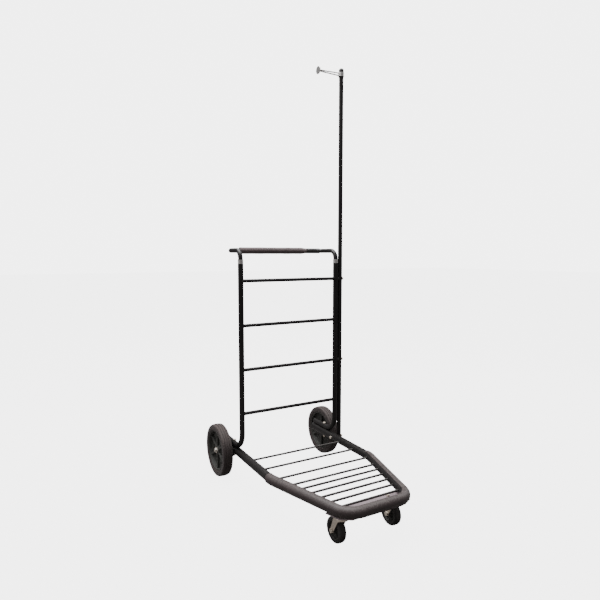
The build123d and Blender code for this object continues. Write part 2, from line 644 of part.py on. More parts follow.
# ---------------------------------------------------------------- garment pole
pole_envelope = bar((POLE_X, 0, POLE_BOTTOM), (POLE_X, 0, POLE_TOP), POLE_R)
pole_bore = bar((POLE_X, 0, POLE_BOTTOM), (POLE_X, 0, POLE_TOP), POLE_R - POLE_WALL)
outside_x = POLE_X + POLE_R
through_holes = [bolt_across((POST, 0, z), (outside_x + CUT_THROUGH, 0, z)) for z in pole_bolt_heights]
add("garment_pole", pole_envelope - pole_bore - through_holes - pole_foot_hole)
spacers = [
    bar((POST, 0, z), (POLE_X, 0, z), SPACER_DIA / 2) - upright_envelopes["right"] - pole_envelope
    for z in pole_bolt_heights
]
add("pole_spacers", *[largest(spacer) - through_holes for spacer in spacers])
pole_bolts = [
    bar((blind_end, 0, z), (outside_x, 0, z), BOLT_R)
    + hexagon((outside_x, 0, z), (outside_x + BOLT_HEAD, 0, z), BOLT_FLATS)
    for z in pole_bolt_heights
]
inside_x = SIDE - DECK_R
foot_shank = bar((inside_x, 0, DECK_HEIGHT), (outside_x + NUT + BOLT_END, 0, DECK_HEIGHT), BOLT_R)
foot_head = hexagon((inside_x - BOLT_HEAD, 0, DECK_HEIGHT), (inside_x, 0, DECK_HEIGHT), BOLT_FLATS)
foot_nut = hexagon((outside_x, 0, DECK_HEIGHT), (outside_x + NUT, 0, DECK_HEIGHT), BOLT_FLATS)
add("pole_bolts", *pole_bolts, foot_shank + foot_head, foot_nut - foot_shank)
plug_r = POLE_R - POLE_WALL - CAP_SLACK
add("pole_bottom_cap",
    bar((POLE_X, 0, POLE_BOTTOM - END_CAP), (POLE_X, 0, POLE_BOTTOM), POLE_R)
    + bar((POLE_X, 0, POLE_BOTTOM), (POLE_X, 0, POLE_BOTTOM + CAP_BOTTOM_PLUG), plug_r))
dome_r = POLE_R + FINIAL_LIP
dome = bar((POLE_X, 0, POLE_TOP), (POLE_X, 0, POLE_TOP + FINIAL_HEIGHT), dome_r)
dome = fillet(dome.edges().filter_by(GeomType.CIRCLE).sort_by(Axis.Z)[-1], dome_r * FINIAL_ROUND)
add("pole_finial", dome + bar((POLE_X, 0, POLE_TOP - CAP_PLUG), (POLE_X, 0, POLE_TOP), plug_r))

collar_low = POLE_TOP - COLLAR_HEIGHT
collar_r = POLE_R + SLIP + COLLAR_WALL
collar = ring((POLE_X, 0, collar_low), (POLE_X, 0, POLE_TOP), collar_r, POLE_R + SLIP)
add("hook_collar", collar)
arm_height = collar_low + COLLAR_HEIGHT / 2
arm_tip = POLE_X - ARM_REACH + END_DISC / 2
arm = [
    bar((POLE_X, 0, arm_height + way * ARM_ROOT_GAP / 2), (arm_tip, 0, arm_height + way * ARM_TIP_GAP / 2),
        ARM_DIA / 2)
    for way in (-1, 1)
]
collar_core = bar((POLE_X, 0, collar_low - CUT_THROUGH), (POLE_X, 0, POLE_TOP + CUT_THROUGH), collar_r)
disc_side = bar((arm_tip - END_DISC, 0, arm_height), (arm_tip, 0, arm_height), END_DISC_DIA / 2)
add("hook_arm", largest(arm[0] + arm[1] - collar_core - disc_side))
add("hook_end_disc", fillet(disc_side.edges(), END_DISC_ROUND))

# ---------------------------------------------------------------- files
os.makedirs("parts", exist_ok=True)
to_floor_middle = Location((0, -MIDDLE, 0))
for name, solids in nodes.items():
    moved = [solid.moved(to_floor_middle) for solid in solids]
    export_step(moved[0] if len(moved) == 1 else Compound(moved), f"parts/{name}.step")
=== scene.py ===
"""Looks of a nesting hotel luggage cart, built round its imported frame.

Metres throughout, in the frame's own axes: +Z up, nose towards -Y, garment pole on the +X side.
"""

import logging
import math
from dataclasses import dataclass, field
from enum import Enum

import bmesh
import bpy
from mathutils import Matrix, Vector


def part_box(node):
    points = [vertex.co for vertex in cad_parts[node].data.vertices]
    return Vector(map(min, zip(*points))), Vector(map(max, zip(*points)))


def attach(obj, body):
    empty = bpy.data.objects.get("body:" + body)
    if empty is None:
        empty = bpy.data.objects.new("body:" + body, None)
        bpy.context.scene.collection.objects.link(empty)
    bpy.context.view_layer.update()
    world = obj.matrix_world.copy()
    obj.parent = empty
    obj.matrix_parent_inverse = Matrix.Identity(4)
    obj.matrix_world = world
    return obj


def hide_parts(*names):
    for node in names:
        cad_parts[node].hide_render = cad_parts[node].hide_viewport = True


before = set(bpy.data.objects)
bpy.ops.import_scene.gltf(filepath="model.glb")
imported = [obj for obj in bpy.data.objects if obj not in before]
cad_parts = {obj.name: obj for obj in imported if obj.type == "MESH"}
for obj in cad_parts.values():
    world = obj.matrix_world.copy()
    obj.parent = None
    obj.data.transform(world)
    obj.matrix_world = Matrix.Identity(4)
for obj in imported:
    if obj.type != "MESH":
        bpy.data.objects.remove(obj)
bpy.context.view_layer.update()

log = logging.getLogger("luggage_cart")
SIDES = (("left", -1), ("right", 1))


# ---------------------------------------------------------------- shader building
NUMBER_SOCKET = "NodeSocketFloat"


class Graph:
    """A node tree with short ways to add nodes and wires."""

    def __init__(self, tree: bpy.types.NodeTree) -> None:
        """Starts from an existing tree.

        Args:
            tree: the shader tree to add to.
        """
        self.tree = tree

    def add(self, kind: str, inputs: dict | None = None, **settings) -> bpy.types.Node:
        """Adds a node.

        Args:
            kind: the node's type name, without "ShaderNode".
            inputs: values or output sockets for its inputs, by name or number.
            settings: attributes of the node itself.

        Returns:
            The new node.
        """
        node = self.tree.nodes.new("ShaderNode" + kind)
        for name, value in settings.items():
            setattr(node, name, value)
        for key, value in (inputs or {}).items():
            if isinstance(value, bpy.types.NodeSocket):
                self.tree.links.new(value, node.inputs[key])
            else:
                node.inputs[key].default_value = value
        return node

    def math(self, operation: str, first, second=0.0, clamp: bool = False) -> bpy.types.NodeSocket:
        """Adds a Math node.

        Args:
            operation: its operation.
            first: first value or socket.
            second: second value or socket.
            clamp: whether the result stays within 0 to 1.

        Returns:
            The node's output socket.
        """
        node = self.add("Math", {0: first, 1: second}, operation=operation, use_clamp=clamp)
        return node.outputs[0]

    def remap(self, value, low: float, high: float, to_low: float = 0.0, to_high: float = 1.0):
        """Maps a range of a value smoothly on to another range.

        Args:
            value: the socket to map.
            low: value that gives to_low.
            high: value that gives to_high.
            to_low: lower result.
            to_high: upper result.

        Returns:
            The node's output socket.
        """
        inputs = {"Value": value, "From Min": low, "From Max": high, "To Min": to_low, "To Max": to_high}
        return self.add("MapRange", inputs, interpolation_type="SMOOTHSTEP").outputs["Result"]

    def blend(self, factor, first, second) -> bpy.types.NodeSocket:
        """Mixes two colours.

        Args:
            factor: share of the second colour.
            first: a colour or socket.
            second: a colour or socket.

        Returns:
            The mixed colour's socket.
        """
        node = self.add("Mix", {0: factor, 6: first, 7: second}, data_type="RGBA")
        return node.outputs[2]


def shared_group(name: str, inputs: dict[str, float], outputs: tuple[str, ...]) -> tuple:
    """Starts a node group with named sockets, or finds it if it was built before.

    Args:
        name: the group's name.
        inputs: its number inputs, with their default values.
        outputs: the names of its number outputs.

    Returns:
        The group's tree, and its Graph, group input and group output, or None in their places when found.
    """
    found = bpy.data.node_groups.get(name)
    if found:
        return found, None, None, None
    tree = bpy.data.node_groups.new(name, "ShaderNodeTree")
    for label, default in inputs.items():
        socket = tree.interface.new_socket(label, in_out="INPUT", socket_type=NUMBER_SOCKET)
        socket.default_value = default
    for label in outputs:
        tree.interface.new_socket(label, in_out="OUTPUT", socket_type=NUMBER_SOCKET)
    graph = Graph(tree)
    return tree, graph, tree.nodes.new("NodeGroupInput"), tree.nodes.new("NodeGroupOutput")


def relief_group() -> bpy.types.NodeTree:
    """Fine surface relief: smooth ripple, pits and drawn lines, with a broad tone beside them."""
    outputs = ("Ripple", "Pits", "Lines", "Tone")
    tree, graph, start, end = shared_group("surface_relief", {"Scale": 400.0, "Stretch": 12.0}, outputs)
    if graph is None:
        return tree
    place = graph.add("TexCoord").outputs["Object"]
    scale = start.outputs["Scale"]
    ripple = graph.add("TexNoise", {"Vector": place, "Scale": scale, "Detail": 3.0, "Roughness": 0.5})
    cells = graph.add("TexVoronoi", {"Vector": place, "Scale": scale}, feature="SMOOTH_F1")
    squeeze = graph.add("CombineXYZ", {0: 1.0, 1: start.outputs["Stretch"], 2: start.outputs["Stretch"]})
    drawn = graph.add("VectorMath", {0: place, 1: squeeze.outputs[0]}, operation="MULTIPLY")
    lines = graph.add("TexNoise", {"Vector": drawn.outputs[0], "Scale": scale, "Detail": 2.0})
    tone = graph.add("TexNoise", {"Vector": place, "Scale": 9.0, "Detail": 4.0, "Roughness": 0.6})
    wires = {
        "Ripple": ripple.outputs[0],
        "Pits": cells.outputs["Distance"],
        "Lines": lines.outputs[0],
        "Tone": graph.remap(tone.outputs[0], 0.3, 0.7),
    }
    for label, socket in wires.items():
        tree.links.new(socket, end.inputs[label])
    return tree


def handling_group() -> bpy.types.NodeTree:
    """Marks of use: dust on faces that look up, and scuffs in patches."""
    tree, graph, start, end = shared_group("marks_of_use", {"Patch Scale": 25.0}, ("Dust", "Scuffs"))
    if graph is None:
        return tree
    coordinates = graph.add("TexCoord")
    place = coordinates.outputs["Object"]
    up = graph.add("SeparateXYZ", {0: coordinates.outputs["Normal"]}).outputs[2]
    grain = graph.add("TexNoise", {"Vector": place, "Scale": 160.0, "Detail": 5.0, "Roughness": 0.7})
    fine = grain.outputs[0]
    broad = graph.add("TexNoise", {"Vector": place, "Scale": start.outputs["Patch Scale"], "Detail": 4.0})
    patches = graph.remap(broad.outputs[0], 0.56, 0.7)
    dust = graph.math("MULTIPLY", graph.remap(up, 0.1, 1.0), graph.remap(fine, 0.35, 0.75))
    scuffs = graph.math("MULTIPLY", patches, graph.remap(fine, 0.5, 0.62))
    tree.links.new(dust, end.inputs["Dust"])
    tree.links.new(scuffs, end.inputs["Scuffs"])
    return tree


class Relief(Enum):
    """Which output of the relief group a finish uses for its bump."""

    ORANGE_PEEL = "Ripple"
    PEBBLE = "Pits"
    DRAWN = "Lines"


@dataclass(frozen=True)
class Finish:
    """A surface finish and how it wears: colours, roughness and its spread, relief and amounts of wear."""

    name: str
    colour: tuple[float, float, float]
    worn: tuple[float, float, float]
    roughness: float
    spread: float
    relief: Relief = Relief.ORANGE_PEEL
    relief_scale: float = 400.0
    relief_depth: float = 0.00002
    metallic: float = 0.0
    coat: float = 0.0
    coat_roughness: float = 0.08
    sheen: float = 0.0
    specular: float = 0.5
    dust: float = 0.1
    scuffs: float = 0.2
    tone: float = 0.3
    dust_colour: tuple[float, float, float] = (0.34, 0.31, 0.28)

    def material(self) -> bpy.types.Material:
        """Builds the material, or returns it if it was built before."""
        found = bpy.data.materials.get(self.name)
        if found:
            return found
        material = bpy.data.materials.new(self.name)
        material.use_nodes = True
        graph = Graph(material.node_tree)
        shader = material.node_tree.nodes["Principled BSDF"]
        relief = graph.add("Group", node_tree=relief_group())
        relief.inputs["Scale"].default_value = self.relief_scale
        marks = graph.add("Group", node_tree=handling_group())
        self._colour(graph, shader, relief, marks)
        self._gloss(graph, shader, relief, marks)
        bump = graph.add("Bump", {"Height": relief.outputs[self.relief.value], "Strength": 1.0})
        bump.inputs["Distance"].default_value = self.relief_depth
        material.node_tree.links.new(bump.outputs[0], shader.inputs["Normal"])
        return material

    def _colour(self, graph: Graph, shader, relief, marks) -> None:
        """Wires the base colour: broad tone, then scuffs, then dust."""
        darker = tuple(c * (1 - self.tone) for c in self.colour)
        ground = graph.blend(relief.outputs["Tone"], (*darker, 1), (*self.colour, 1))
        scuffed = graph.blend(
            graph.math("MULTIPLY", marks.outputs["Scuffs"], self.scuffs), ground, (*self.worn, 1)
        )
        dusty = graph.blend(
            graph.math("MULTIPLY", marks.outputs["Dust"], self.dust), scuffed, (*self.dust_colour, 1)
        )
        graph.tree.links.new(dusty, shader.inputs["Base Color"])

    def _gloss(self, graph: Graph, shader, relief, marks) -> None:
        """Wires the roughness and sets the sockets that are the same all over."""
        lift = graph.math("MULTIPLY", relief.outputs["Tone"], self.spread)
        marked = graph.math("MAXIMUM", marks.outputs["Scuffs"], marks.outputs["Dust"])
        dulled = graph.math("MULTIPLY", marked, self.spread * 2)
        total = graph.math("ADD", graph.math("ADD", lift, dulled), self.roughness, clamp=True)
        graph.tree.links.new(total, shader.inputs["Roughness"])
        shader.inputs["Metallic"].default_value = self.metallic
        shader.inputs["Coat Weight"].default_value = self.coat
        shader.inputs["Coat Roughness"].default_value = self.coat_roughness
        shader.inputs["Sheen Weight"].default_value = self.sheen
        shader.inputs["Specular IOR Level"].default_value = self.specular


ENAMEL = Finish("black_enamel", (0.0125, 0.0108, 0.0110), (0.05, 0.046, 0.043), 0.33, 0.05, relief_scale=140,
                relief_depth=0.000001, coat=0.0, specular=0.34, dust=0.05, scuffs=0.10)
# Deck rods: a lighter copy of the frame's black enamel. Its paler base colour is a painted highlight,
# standing in for the light that the rods' tops catch.
ROD_ENAMEL_PAINTED_HIGHLIGHT = Finish("rod_enamel_painted_highlight", (0.024, 0.020, 0.019), (0.11, 0.10, 0.09), 0.42, 0.06, relief_scale=140,
                    relief_depth=0.000001, specular=0.6, dust=0.25, scuffs=0.3)
# Nose plate: its light mauve base colour is a painted reflection, standing in for the overhead light falling
# on the plate's flat top.
SHEET_PAINTED_REFLECTION = Finish("sheet_enamel_painted_reflection", (0.270, 0.215, 0.235), (0.34, 0.29, 0.30), 0.34, 0.10, relief_scale=200,
                      relief_depth=0.00002, coat=0.4, dust=0.25, scuffs=0.35)
VINYL = Finish("bumper_vinyl", (0.037, 0.0240, 0.0250), (0.105, 0.080, 0.080), 0.46, 0.10, relief_scale=900,
               relief_depth=0.000012, sheen=0.04, dust=0.2, scuffs=0.45)
FOAM = Finish("grip_foam", (0.115, 0.086, 0.088), (0.2, 0.165, 0.165), 0.85, 0.06, relief=Relief.PEBBLE,
              relief_scale=900, relief_depth=0.00014, sheen=0.3, dust=0.12, scuffs=0.4)
SLEEVE = Finish("sleeve_vinyl", (0.020, 0.019, 0.018), (0.09, 0.08, 0.08), 0.42, 0.1, relief_scale=700,
                relief_depth=0.00002, sheen=0.1)
CAP = Finish("moulded_cap", (0.018, 0.017, 0.017), (0.08, 0.08, 0.08), 0.4, 0.1, relief=Relief.PEBBLE,
             relief_scale=1600, relief_depth=0.00002)
TYRE = Finish("tyre_rubber", (0.035, 0.0225, 0.0220), (0.09, 0.065, 0.062), 0.68, 0.12, relief_scale=520,
              relief_depth=0.00005, sheen=0.12, dust=0.3, scuffs=0.6, dust_colour=(0.17, 0.14, 0.12))
MOULDED = Finish("wheel_plastic", (0.018, 0.0110, 0.0108), (0.08, 0.058, 0.055), 0.42, 0.12,
                 relief=Relief.PEBBLE, relief_scale=1500, relief_depth=0.00001, specular=0.4, dust=0.15,
                 dust_colour=(0.12, 0.092, 0.082))
TREAD = Finish("caster_rubber", (0.024, 0.021, 0.020), (0.12, 0.11, 0.1), 0.5, 0.12, relief_scale=800,
               relief_depth=0.00003, dust=0.15, scuffs=0.5)
ZINC = Finish("bright_zinc", (0.74, 0.66, 0.57), (0.50, 0.44, 0.38), 0.46, 0.12, relief=Relief.DRAWN,
              relief_scale=300, relief_depth=0.00001, metallic=0.55, dust=0.1, tone=0.12, scuffs=0.4)
DULL_STEEL = Finish("ferrule_steel", (0.60, 0.58, 0.57), (0.45, 0.43, 0.42), 0.42, 0.1, relief=Relief.DRAWN,
                    relief_scale=260, relief_depth=0.00001, metallic=1.0, dust=0.05, tone=0.15)
CHROME = Finish("bright_chrome", (0.78, 0.76, 0.75), (0.6, 0.58, 0.57), 0.26, 0.06, relief_scale=150,
                relief_depth=0.000006, metallic=1.0, dust=0.04, tone=0.08, scuffs=0.1)
STEEL = Finish("bearing_steel", (0.62, 0.62, 0.62), (0.4, 0.38, 0.35), 0.15, 0.1, metallic=1.0, tone=0.1)
NYLON = Finish("bush_nylon", (0.66, 0.64, 0.58), (0.5, 0.47, 0.42), 0.45, 0.1, relief_scale=900, tone=0.1)

NODE_FINISHES = {
    "deck_frame": ENAMEL, "deck_rods": ROD_ENAMEL_PAINTED_HIGHLIGHT, "nose_plate": SHEET_PAINTED_REFLECTION, "deck_bumper": VINYL,
    "deck_end_caps": CAP, "foot_end_caps": CAP, "foot_bolts": ZINC, "handle_loop": ENAMEL,
    "handle_ferrules": DULL_STEEL, "handle_grip": FOAM, "handle_sleeve": SLEEVE, "garment_pole": ENAMEL,
    "pole_spacers": CAP, "pole_bolts": ZINC, "pole_bottom_cap": CAP, "pole_finial": CAP,
    "hook_collar": CHROME, "hook_arm": CHROME, "hook_end_disc": CHROME, "caster_bolts": ZINC,
    "caster_nuts": ZINC, **{f"rung_{n}": ENAMEL for n in range(1, 5)},
    **{
        f"{side}_{piece}": finish
        for side, _ in SIDES
        for piece, finish in (
            ("upright", ENAMEL), ("axle_plate", ENAMEL), ("tyre", TYRE), ("rim", MOULDED), ("bushes", NYLON),
            ("axle", ZINC), ("washers", ZINC), ("hub_nut", ZINC), ("caster_plate", ZINC), ("kingpin", ZINC),
            ("race_balls", STEEL), ("fork", ZINC), ("caster_tread", TREAD), ("caster_core", MOULDED),
            ("caster_axle", ZINC),
        )
    },
}


def dress(node: str) -> None:
    """Gives a CAD node its finish."""
    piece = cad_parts[node]
    piece.data.materials.clear()
    piece.data.materials.append(NODE_FINISHES[node].material())
    log.info("dressed %s in %s", node, NODE_FINISHES[node].name)


# ---------------------------------------------------------------- mesh building
MERGE = 1e-6
FLAW = 1e-7
CHAMFER_SHARE = 0.16  # of a nut's height


def rounded(corners: list[tuple], radius: float, steps: int = 4) -> list[tuple]:
    """Rounds every corner of a closed flat outline.

    Args:
        corners: its corners, in order.
        radius: the round's radius, limited by the two sides that meet.
        steps: how many edges each round has.

    Returns:
        The points of the rounded outline.
    """
    points = []
    for before, corner, after in zip(corners[-1:] + corners[:-1], corners, corners[1:] + corners[:1]):
        here, back, on = Vector(corner), Vector(before) - Vector(corner), Vector(after) - Vector(corner)
        reach = min(radius, 0.45 * back.length, 0.45 * on.length)
        first, last = here + back.normalized() * reach, here + on.normalized() * reach
        for step in range(steps + 1):
            t = step / steps
            point = first * (1 - t) ** 2 + here * (2 * t * (1 - t)) + last * t ** 2
            points.append((point.x, point.y))
    return points


def stand(at: tuple, axis: tuple) -> Matrix:
    """A matrix that carries +Z at the origin to an axis through a point."""
    return Matrix.Translation(at) @ Vector(axis).to_track_quat("Z", "Y").to_matrix().to_4x4()


class Shape:
    """A mesh under construction, in metres and in the cart's own frame."""

    def __init__(self, name: str) -> None:
        """Starts an empty mesh."""
        self.name = name
        self.bm = bmesh.new()

    def _loop(self, points: list[Vector]) -> tuple[list, list]:
        """Adds a closed ring of edges through points."""
        verts = [self.bm.verts.new(point) for point in points]
        edges = [self.bm.edges.new(pair) for pair in zip(verts, verts[1:] + verts[:1])]
        return verts, edges

    def lathe(self, profile: list[tuple], at: tuple, axis: tuple, steps: int = 64) -> list:
        """Turns a closed profile round an axis.

        Args:
            profile: points as distance along the axis and radius.
            at: the point of the axis that the distances are measured from.
            axis: its direction.
            steps: how many faces go round.

        Returns:
            The new vertices.
        """
        known = set(self.bm.verts)
        verts, edges = self._loop([Vector((radius, 0, along)) for along, radius in profile])
        bmesh.ops.spin(self.bm, geom=verts + edges, cent=(0, 0, 0), axis=(0, 0, 1), dvec=(0, 0, 0),
                       angle=math.tau, steps=steps, use_merge=True)
        fresh = [vert for vert in self.bm.verts if vert not in known]
        bmesh.ops.remove_doubles(self.bm, verts=fresh, dist=MERGE)
        fresh = [vert for vert in self.bm.verts if vert not in known]
        edges = list({edge for vert in fresh for edge in vert.link_edges})
        bmesh.ops.dissolve_degenerate(self.bm, edges=edges, dist=FLAW)
        fresh = [vert for vert in self.bm.verts if vert not in known]
        bmesh.ops.transform(self.bm, matrix=stand(at, axis), verts=fresh)
        return fresh

    def block(self, size: tuple, matrix: Matrix, soften: float) -> list:
        """Adds a box with softened edges.

        Args:
            size: its three sides.
            matrix: where it goes.
            soften: width of the rounds on its edges.

        Returns:
            The new vertices.
        """
        known = set(self.bm.verts)
        made = bmesh.ops.create_cube(self.bm, size=1.0, matrix=Matrix.Diagonal((*size, 1)))
        edges = list({edge for vert in made["verts"] for edge in vert.link_edges})
        bmesh.ops.bevel(self.bm, geom=edges, offset=soften, segments=3, profile=0.5, affect="EDGES",
                        material=-1)
        fresh = [vert for vert in self.bm.verts if vert not in known]
        bmesh.ops.transform(self.bm, matrix=matrix, verts=fresh)
        return fresh

    def prism(self, sides: int, across_flats: float, height: float, at: tuple, axis: tuple) -> list:
        """Adds a nut or bolt head: a prism with its corners chamfered.

        Args:
            sides: how many flats it has.
            across_flats: distance between opposite flats.
            height: its height along the axis.
            at: middle of the face it sits on.
            axis: the way it stands.

        Returns:
            The new vertices.
        """
        known = set(self.bm.verts)
        corner = across_flats / 2 / math.cos(math.pi / sides)
        bmesh.ops.create_cone(self.bm, cap_ends=True, segments=sides, radius1=corner, radius2=corner,
                              depth=height, matrix=Matrix.Translation((0, 0, height / 2)))
        top = [e for v in self.bm.verts if v not in known for e in v.link_edges
               if all(abs(end.co.z - height) < FLAW for end in e.verts)]
        bmesh.ops.bevel(self.bm, geom=list(set(top)), offset=height * CHAMFER_SHARE, segments=2, profile=0.5,
                        affect="EDGES", material=-1)
        fresh = [vert for vert in self.bm.verts if vert not in known]
        bmesh.ops.transform(self.bm, matrix=stand(at, axis), verts=fresh)
        return fresh

    def sweep(self, section: list[tuple], start: Vector, heading: Vector, pivot: Vector, moves: list) -> list:
        """Runs a closed section along straights and bends that all turn the same way.

        Args:
            section: points as distance towards the inside of the bends and distance along the pivot.
            start: where the path starts.
            heading: the way it sets off.
            pivot: the direction that the bends turn about.
            moves: lengths of straights, and (radius, angle, steps) of bends.

        Returns:
            The new vertices.
        """
        known = set(self.bm.verts)
        inward = pivot.cross(heading)
        verts, edges = self._loop([start + inward * a + pivot * b for a, b in section])
        here = start.copy()
        for move in moves:
            if isinstance(move, tuple):
                radius, angle, steps = move
                centre = here + inward * radius
                made = bmesh.ops.spin(self.bm, geom=edges, cent=centre, axis=pivot, dvec=(0, 0, 0),
                                      angle=angle, steps=steps)
                edges = [item for item in made["geom_last"] if isinstance(item, bmesh.types.BMEdge)]
                turn = Matrix.Rotation(angle, 3, pivot)
                here = centre + turn @ (here - centre)
                heading, inward = turn @ heading, turn @ inward
            else:
                made = bmesh.ops.extrude_edge_only(self.bm, edges=edges)["geom"]
                edges = [item for item in made if isinstance(item, bmesh.types.BMEdge)]
                moved = [item for item in made if isinstance(item, bmesh.types.BMVert)]
                edges = [edge for edge in edges if all(vert in moved for vert in edge.verts)]
                bmesh.ops.translate(self.bm, verts=moved, vec=heading * move)
                here = here + heading * move
        bmesh.ops.holes_fill(self.bm, edges=[e for e in self.bm.edges if e.is_boundary], sides=0)
        return [vert for vert in self.bm.verts if vert not in known]

    def done(self, body: str, finish: Finish, replaces: tuple = (), sharp: float = 32.0):
        """Turns the mesh into a dressed object that rides on a body.

        Args:
            body: the body it moves with.
            finish: its finish.
            replaces: CAD nodes that it stands for.
            sharp: angle in degrees past which an edge stays crisp.

        Returns:
            The finished object.
        """
        bmesh.ops.recalc_face_normals(self.bm, faces=self.bm.faces)
        for face in self.bm.faces:
            face.smooth = True
        mesh = bpy.data.meshes.new(self.name)
        self.bm.to_mesh(mesh)
        self.bm.free()
        mesh.set_sharp_from_angle(angle=math.radians(sharp))
        mesh.materials.append(finish.material())
        piece = bpy.data.objects.new(self.name, mesh)
        bpy.context.scene.collection.objects.link(piece)
        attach(piece, body)
        if replaces:
            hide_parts(*replaces)
        log.info("built %s, %d faces", self.name, len(mesh.polygons))
        return piece


def middle(node: str) -> Vector:
    """Middle of a node's box."""
    low, high = (Vector(corner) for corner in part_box(node))
    return (low + high) / 2


def extent(node: str) -> Vector:
    """Size of a node's box."""
    low, high = (Vector(corner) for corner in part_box(node))
    return high - low


# ---------------------------------------------------------------- rear wheels
@dataclass
class RearWheel:
    """One large wheel: a solid tyre on a moulded centre with ribs, and a domed nut."""

    side: str
    sign: int
    tyre_bore: float = 0.097
    tread_edge: float = 0.002
    shoulder_round: float = 0.006
    crown_drop: float = 0.002
    sidewall: tuple = ((0.0, 0.006), (0.0009, 0.0065), (0.0009, 0.009), (0.0, 0.0095), (0.0, 0.016),
                       (0.0007, 0.0164), (0.0007, 0.0176), (0.0, 0.018))  # inset and rise of its rings
    groove: float = 0.003
    groove_depth: float = 0.0025
    groove_out: float = 0.011
    groove_lip: float = 0.0004
    groove_draft: float = 0.0003
    lip_drop: float = 0.00005
    wall_drop: float = 0.0005
    rim_inset: float = 0.003
    rim_wall: float = 0.005
    web: float = 0.005
    spokes: int = 6
    spoke_wall: float = 0.011
    spoke_inset: float = 0.012
    hub_radius: float = 0.023
    bush_radius: float = 0.00941
    hub_stand_back: float = 0.002
    cast_round: float = 0.0012
    spoke_round: float = 0.0018
    spoke_swell: float = 0.35
    ring_inner: float = 0.062
    ring_outer: float = 0.0645
    ring_half: float = 0.0018
    ring_round: float = 0.0008
    nut_prism: float = 0.6  # shares of the nut's height, but for the dome's radius
    dome_foot: float = 0.5
    dome_rise: float = 0.46
    dome_radius: float = 0.40  # of the nut's width across flats

    def tyre(self) -> None:
        """Turns the tyre: crowned and grooved tread, rounded shoulders, two rings on each sidewall."""
        node = f"{self.side}_tyre"
        half, radius = extent(node).x / 2, extent(node).z / 2
        shoulder = radius - self.tread_edge
        outline = [(-half + 0.004, self.tyre_bore), (-half + 0.0005, self.tyre_bore + 0.0035)]
        outline += [(-half + inset, self.tyre_bore + rise) for inset, rise in self.sidewall]
        outline += [(-half + self.shoulder_round * (1 - math.cos(a)),
                     shoulder - self.shoulder_round * (1 - math.sin(a)))
                    for a in (math.pi / 12 * n for n in range(7))]
        flank = outline[:]
        for out in (-self.groove_out, 0.0, self.groove_out):
            fall = self.crown_drop * (out / (half - self.shoulder_round)) ** 2
            outline += self.groove_outline(out, radius - fall)
        right = [(-along, rise) for along, rise in flank]
        shape = Shape(f"{self.side}_tyre_moulded")
        shape.lathe(outline + right[::-1], middle(node), (1, 0, 0), 120)
        shape.done(f"{self.side}_wheel", TYRE, (node,), 28)

    def groove_outline(self, out: float, crown: float) -> list[tuple]:
        """Outline of one tread groove.

        Args:
            out: its distance from the tyre's middle plane.
            crown: the tread's radius there.

        Returns:
            Points as distance along the axle and radius.
        """
        half, low = self.groove / 2, crown - self.groove_depth
        left = [(half + self.groove_lip, crown - self.lip_drop), (half, crown - self.wall_drop),
                (half - self.groove_draft, low)]
        return [(out - away, rise) for away, rise in left] + [(out + away, rise) for away, rise in left[::-1]]

    def centre(self) -> None:
        """Builds the moulded centre: barrel with rolled edges, closed web, hub and tapered ribs."""
        node = f"{self.side}_rim"
        at, half = middle(f"{self.side}_tyre"), extent(f"{self.side}_tyre").x / 2 - self.rim_inset
        low, high = (Vector(corner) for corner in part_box(f"{self.side}_bushes"))
        near, far = sorted((abs(low.x) - abs(at.x), abs(high.x) - abs(at.x)))
        hub_in, hub_out = near + self.hub_stand_back, far - self.hub_stand_back
        outer, inner, web = self.tyre_bore, self.tyre_bore - self.rim_wall, self.web / 2
        hub, bore = self.hub_radius, self.bush_radius
        profile = [(-half, outer), (half, outer), (half, inner), (web + 0.002, inner - 0.001),
                   (web, inner - 0.004), (web, hub + 0.004), (web + 0.003, hub), (hub_out, hub - 0.001),
                   (hub_out, bore), (hub_in, bore), (hub_in, hub - 0.001), (-web - 0.003, hub),
                   (-web, hub + 0.004), (-web, inner - 0.004), (-web - 0.002, inner - 0.001), (-half, inner)]
        shape = Shape(f"{self.side}_wheel_centre")
        shape.lathe(rounded(profile, self.cast_round, 2), at, (self.sign, 0, 0), 96)
        self.ribs(shape, at, half, inner)
        ring = [(-self.ring_half, self.ring_inner), (self.ring_half, self.ring_inner),
                (self.ring_half, self.ring_outer), (-self.ring_half, self.ring_outer)]
        for way in (-1, 1):
            raised = Vector((at.x + way * (web + 0.0012), at.y, at.z))
            shape.lathe(rounded(ring, self.ring_round, 2), raised, (1, 0, 0), 72)
        shape.done(f"{self.side}_wheel", MOULDED, (node,))

    def ribs(self, shape: Shape, at: Vector, half: float, inner: float) -> None:
        """Adds the ribs between hub and barrel, deeper at both ends than in the middle.

        Args:
            shape: the mesh that they join.
            at: middle of the wheel.
            half: half the barrel's width.
            inner: the barrel's inner radius.
        """
        hub, reach = self.hub_radius, (self.hub_radius + inner) / 2
        size = (2 * (half - self.spoke_inset), self.spoke_wall, inner - hub + 0.004)
        for number in range(self.spokes):
            lean = Matrix.Rotation(math.tau / self.spokes * number, 4, "X")
            rib = Matrix.Translation(at) @ lean @ Matrix.Translation((0, 0, reach))
            for vert in shape.block(size, rib, self.spoke_round):
                out = ((vert.co - at).yz.length - hub) / (inner - hub)
                vert.co.x = at.x + (vert.co.x - at.x) * (1.0 + self.spoke_swell * (2 * out - 1) ** 2)

